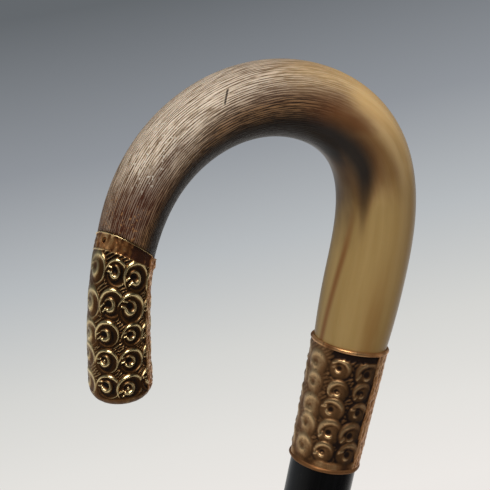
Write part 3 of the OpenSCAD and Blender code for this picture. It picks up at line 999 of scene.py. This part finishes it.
def scroll(x, y, temper):
    """Height of one of the cap's scrolls at a place from its middle, where its edge is 1 away.

    A rim runs clockwise from the lower left, stout over the top and thin along the foot. In its
    bowl lies a hook, open to the left, round a pit or a pearl. Short bars run in to the hook.
    """
    out = np.hypot(x, y)
    lap = clockwise(222 + 14 * temper, x, y)
    rim_at = swell(lap, (0, 1.1), (0.1, 0.92), (0.35, 0.84), (0.65, 0.92), (1, 0.8))
    rim_width = swell(lap, (0, 0.06), (0.12, 0.13), (0.35, 0.2), (0.65, 0.11), (1, 0.07))
    # The rim and its dish fall lower past the right and along the foot, and the colour darkens with
    # them: partly shape, partly painted shade.
    rim_height_and_shade = swell(lap, (0, 0.5), (0.1, 0.9), (0.35, 1), (0.6, 0.8), (0.8, 0.45), (1, 0.4))
    rim = rim_height_and_shade * ridge(out - rim_at, rim_width, 1.8)
    dish = 0.06 + 0.34 * rim_height_and_shade * np.clip(out / rim_at, 0, 1) ** 2

    hook_x = x + 0.17
    hook_y = y + 0.03
    hook_out = np.hypot(hook_x, hook_y)
    hook_lap = clockwise(150, hook_x, hook_y)
    hook_at = swell(hook_lap, (0, 0.42), (0.85, 0.3))
    hook_width = swell(hook_lap, (0, 0.07), (0.2, 0.14), (0.6, 0.21), (0.85, 0.14))
    hook_height = swell(
        hook_lap, (0, 0.3), (0.06, 0.55), (0.3, 0.72), (0.62, 1), (0.8, 0.9), (0.9, 0.1), (1, 0.1))
    hook = hook_height * ridge(hook_out - hook_at, hook_width)
    pit = 1 - eased(hook_out, 0.34, 0.1)
    pearl = 0.8 * np.sqrt(np.clip(1 - (hook_out / 0.17) ** 2, 0, 1)) * (temper > 0.35)

    bars = bars_at_left(x, y, temper, lap, 0.45, 17, 0.9)
    ground = np.maximum(dish * pit, bars)
    return np.maximum(np.maximum(ground, rim), np.maximum(hook, pearl))


def nose_pattern(down, turn):
    """Height of the cap's sheet at a distance down from its rim, and how coppery it has rubbed."""
    degrees = np.degrees(turn)
    column = (CAP_COLUMN_AT + CAP_TWIST * down - degrees) / (360 / CAP_COLUMNS)
    row = (down - CAP_TOP_ROW) / CAP_ROW_H
    pitch = (math.pi * (CAP_RIM_R + CAP_END_R) / CAP_COLUMNS, CAP_ROW_H)
    struck = scrollwork(
        column, row, CAP_COLUMNS, CAP_ROWS, pitch, reach=3.7, bars=6.5, one=scroll, seed=4)
    struck = worn_smooth(struck, degrees, 12, 52, 0.85)
    band = eased(down, 3.9, 3.2)
    pits = pitting(turn.shape, 8)
    # Below -34 degrees, and fully below -96, the plain band is lower and darker: partly shape, partly
    # painted shade on the side turned from the lamp.
    plain = 0.12 + 0.5 * eased(degrees, -96, -34) + 0.2 * ripple(turn, down, 8, 30) + 0.12 * pits
    height = struck * (1 - band) + plain * band + 0.3 * ridge(down - 3.6, 0.14)
    rim = eased(down, 0.42, 0.2)
    height = height * (1 - rim) + 1.05 * rim
    from_lap = (degrees - CAP_LAP[0] + 180) % 360 - 180
    lap_width = CAP_LAP[1] - CAP_LAP[0]
    lapped = between(from_lap, -1.5, 1, lap_width - 0.8, lap_width + 1.2)
    pitted = 0.66 + 0.14 * pits + 0.12 * ripple(turn, down, 9, 40)
    height = height * (1 - lapped) + pitted * lapped
    coppery = np.maximum(0.9 * lapped, band * (1 - rim))
    return height + 0.02 * ripple(turn, down, 10, 60), coppery


def sheath_radius(down):
    """Outer radius of the sheath at a distance down from its rim."""
    return np.interp(down, [0, CAP_TUBE_LEN], [CAP_RIM_R, CAP_END_R])


def nose_sheath_mesh():
    down_line = np.concatenate([[0.1, 0.22], np.linspace(0.34, CAP_TUBE_LEN, 226)])
    down, turn = np.meshgrid(down_line, CAP_TURNS, indexing="ij")
    height, coppery = nose_pattern(down, turn)
    for pin_turn in np.radians([PIN_TURN, PIN_TURN + 180]):
        across = CAP_RIM_R * ((turn - pin_turn + math.pi) % (2 * math.pi) - math.pi)
        from_pin = np.hypot(across, down - PIN_INSET)
        height = height * (1 - 0.9 * eased(from_pin, 0.62, 0.5))
    flap = eased(down, 4.2, 2.6) * between(np.degrees(turn), -161, -158, -155, -141)
    outer = sheath_radius(down) - CAP_DEPTH * (1 - np.clip(height, 0, 1.1)) + 0.5 * flap
    outer[0] -= 0.12
    inner_line = np.linspace(CAP_TUBE_LEN, 0.1, 12)
    inner_down, inner_turn = np.meshgrid(inner_line, CAP_TURNS, indexing="ij")
    radius = np.vstack([outer, sheath_radius(inner_down) - CAP_BACK])
    whole_turn = np.vstack([turn, inner_turn])
    along = slanted(CAP_AT + np.vstack([down, inner_down]), whole_turn)
    inside = np.zeros_like(inner_down)
    return skin_mesh(
        "embossed_nose_sheath", crook_skin(along, radius, whole_turn), True, nose_gold,
        height=np.vstack([height, inside + 0.3]),
        open=np.vstack([height - softened(height, 30), inside]),
        coppery=np.vstack([coppery, inside]))


place_piece(nose_sheath_mesh(), "nose_cap_shell")


# Nose cap end: a domed plate of the same sheet, soldered over the end of the sheath. The last row
# of scrolls runs onto its rounding, and below them it is plain and rubbed.
DOME_R = 4.5
DOME_FLAT_R = CAP_END_R - DOME_R


def dome_outside():
    """Radius and rise of the dome's outer points, and the height and copper of its sheet there."""
    bow = np.linspace(0, math.pi / 2, 44)
    flat_r = np.linspace(DOME_FLAT_R, 0, 20)[1:]
    lean = np.concatenate([bow, np.full(len(flat_r), math.pi / 2)])
    reach = np.concatenate([DOME_FLAT_R + DOME_R * np.cos(bow), flat_r])
    inwards = np.concatenate([0 * bow, DOME_FLAT_R - flat_r])
    down, turn = np.meshgrid(CAP_TUBE_LEN + DOME_R * lean + inwards, CAP_TURNS, indexing="ij")
    height, coppery = nose_pattern(down, turn)
    plain = eased(down, CAP_TUBE_LEN + 1, CAP_TUBE_LEN + 1.7)
    fold = eased(down, CAP_TUBE_LEN + 7, CAP_TUBE_LEN + 2)
    rubbed = 0.5 + 0.06 * ripple(turn, down, 12, 30) * fold
    height = height * (1 - plain) + rubbed * plain
    sink = CAP_DEPTH * (1 - np.clip(height, 0, 1.1))
    radius = reach[:, None] - sink * np.cos(lean)[:, None]
    up = (DOME_R - sink) * np.sin(lean)[:, None]
    radius[-1] = 0
    up[-1] = up[-1].mean()
    return radius, up, height, coppery * (1 - plain)


def nose_end_mesh():
    outer_r, outer_up, height, coppery = dome_outside()
    back = DOME_R - CAP_BACK
    bow = np.linspace(math.pi / 2, 0, 10)
    inner_r = np.concatenate([[0], DOME_FLAT_R + back * np.cos(bow)])
    inner_up = np.concatenate([[back], back * np.sin(bow)])
    radius = np.vstack([np.repeat(inner_r[:, None], CAP_SIDES, 1), outer_r])
    up = np.vstack([np.repeat(inner_up[:, None], CAP_SIDES, 1), outer_up])
    around = np.repeat(CAP_TURNS[None], len(radius), 0)
    seat = crook_skin(np.full_like(radius, CAP_TUBE_END), radius, around)
    heading = np.interp(CAP_TUBE_END, path_along, path_heading)
    ahead = np.array([-math.sin(heading), 0, math.cos(heading)])
    inside = np.zeros((len(inner_r), CAP_SIDES))
    return skin_mesh(
        "domed_nose_end", seat + up[..., None] * ahead, False, nose_gold,
        height=np.vstack([inside + 0.3, height]),
        open=np.vstack([inside, height - softened(height, 30)]),
        coppery=np.vstack([inside, coppery]))


place_piece(nose_end_mesh(), "nose_cap_end")


# Nose cap pins: two small pins of brass wire, driven through the cap's plain rim into the horn
# and filed flush. They hold the cap if its cement cracks.
dress("nose_cap_pins", pin_brass)


# Stage: a pale round floor, a soft grey backdrop that pales downwards, a large soft lamp up to the
# left and a weak one to the right.
FLOOR_R = 1.5
FLOOR_SIDES = 96


def floor_finish():
    floor = Finish("pale_floor", Roughness=0.85)
    speckle = floor.noise(floor.place, 260, 4)
    floor.shade(
        Base_Color=floor.ramp(speckle, (0.3, 222, 220, 216), (0.7, 230, 228, 225)),
        Alpha=floor.fade(floor.measure("LENGTH", floor.place), 1.45, 0.9))
    return floor


rim_turns = [i * 2 * math.pi / FLOOR_SIDES for i in range(FLOOR_SIDES)]
floor_rim = [(FLOOR_R * math.cos(turn), FLOOR_R * math.sin(turn), 0) for turn in rim_turns]
floor_faces = [(0, 1 + i, 1 + (i + 1) % FLOOR_SIDES) for i in range(FLOOR_SIDES)]
floor_mesh = bpy.data.meshes.new("floor")
floor_mesh.from_pydata([(0, 0, 0)] + floor_rim, [], floor_faces)
floor_mesh.materials.append(floor_finish().material)
into_scene("floor", floor_mesh)

VIEW_TURN = math.radians(-30)
VIEW_RISE = math.radians(11.22)
VIEW_ROLL = math.radians(11.1)
VIEW_DISTANCE = 0.27836
VIEW_AIM = Vector((-0.04277, 0, 0.84688))
VIEW_FOCAL = 1000 / 490
SENSOR_WIDTH = 36

level_right = Vector((math.cos(VIEW_TURN), math.sin(VIEW_TURN), 0))
level_back = Vector((math.sin(VIEW_TURN), -math.cos(VIEW_TURN), 0))
back = level_back * math.cos(VIEW_RISE) + Vector((0, 0, math.sin(VIEW_RISE)))
level_up = back.cross(level_right)
picture_right = level_right * math.cos(VIEW_ROLL) + level_up * math.sin(VIEW_ROLL)
picture_up = level_up * math.cos(VIEW_ROLL) - level_right * math.sin(VIEW_ROLL)
camera_data = bpy.data.cameras.new("camera")
camera_data.sensor_width = SENSOR_WIDTH
camera_data.lens = SENSOR_WIDTH * VIEW_FOCAL
camera_data.clip_start = 0.01
camera_data.clip_end = 30
camera = into_scene("camera", camera_data)
axes = Matrix((picture_right, picture_up, back)).transposed().to_4x4()
camera.matrix_world = Matrix.Translation(VIEW_AIM + back * VIEW_DISTANCE) @ axes
bpy.context.scene.camera = camera

LAMP_AIM = Vector((-0.04, 0, 0.6))


def lamp(name, towards, distance, width, watts, colour):
    """A square soft lamp in a direction from its aim, out of the camera's sight."""
    data = bpy.data.lights.new(name, "AREA")
    data.shape = "SQUARE"
    data.size = width
    data.energy = watts
    data.color = colour
    towards = Vector(towards).normalized()
    turned = towards.to_track_quat("Z", "Y").to_matrix().to_4x4()
    made = into_scene(name, data)
    made.matrix_world = Matrix.Translation(LAMP_AIM + towards * distance) @ turned
    made.visible_camera = False


lamp("key_lamp", (-0.45, -0.46, 0.75), 3, 1.4, 56, (1, 0.97, 0.93))
lamp("fill_lamp", (0.8, -0.5, 0.25), 3, 2, 5, (0.93, 0.96, 1))


def world_light():
    """Even light for the object, and for the camera and reflections a grey backdrop that pales
    downwards."""
    world = bpy.data.worlds.new("studio")
    world.use_nodes = True
    bpy.context.scene.world = world
    sky = Nodes(world.node_tree)
    ambient = sky.tree.nodes["Background"]
    sky.feed(ambient.inputs["Color"], (0.95, 0.97, 1, 1))
    sky.feed(ambient.inputs["Strength"], 0.28)
    toward = sky.add("ShaderNodeTexCoord").outputs["Generated"]
    up = sky.measure("DOT_PRODUCT", toward, tuple(picture_up * 0.96 - picture_right * 0.2))
    paling = sky.ramp(
        sky.maths("MULTIPLY_ADD", up, 2, 0.5),
        (0, 236, 232, 228),
        (0.14, 227, 225, 221),
        (0.3, 212, 212, 209),
        (0.5, 182, 186, 189),
        (0.72, 143, 147, 153),
        (1, 100, 104, 108))
    ahead = tuple((-back - picture_right * 0.6).normalized())
    dim_room = sky.fade(sky.measure("DOT_PRODUCT", toward, ahead), -0.45, 0.65, 0.08, 1)
    seen = sky.add("ShaderNodeLightPath").outputs
    strength = sky.maths("MAXIMUM", dim_room, seen["Is Camera Ray"])
    backdrop = sky.add("ShaderNodeBackground", {"Color": paling, "Strength": strength})
    mirrored = sky.maths("MAXIMUM", seen["Is Glossy Ray"], seen["Is Transmission Ray"])
    direct = sky.maths("MAXIMUM", seen["Is Camera Ray"], mirrored)
    blend = sky.add(
        "ShaderNodeMixShader", {0: direct, 1: ambient.outputs[0], 2: backdrop.outputs[0]})
    sky.feed(sky.tree.nodes["World Output"].inputs["Surface"], blend.outputs[0])


world_light()
bpy.context.scene.view_settings.view_transform = "Standard"
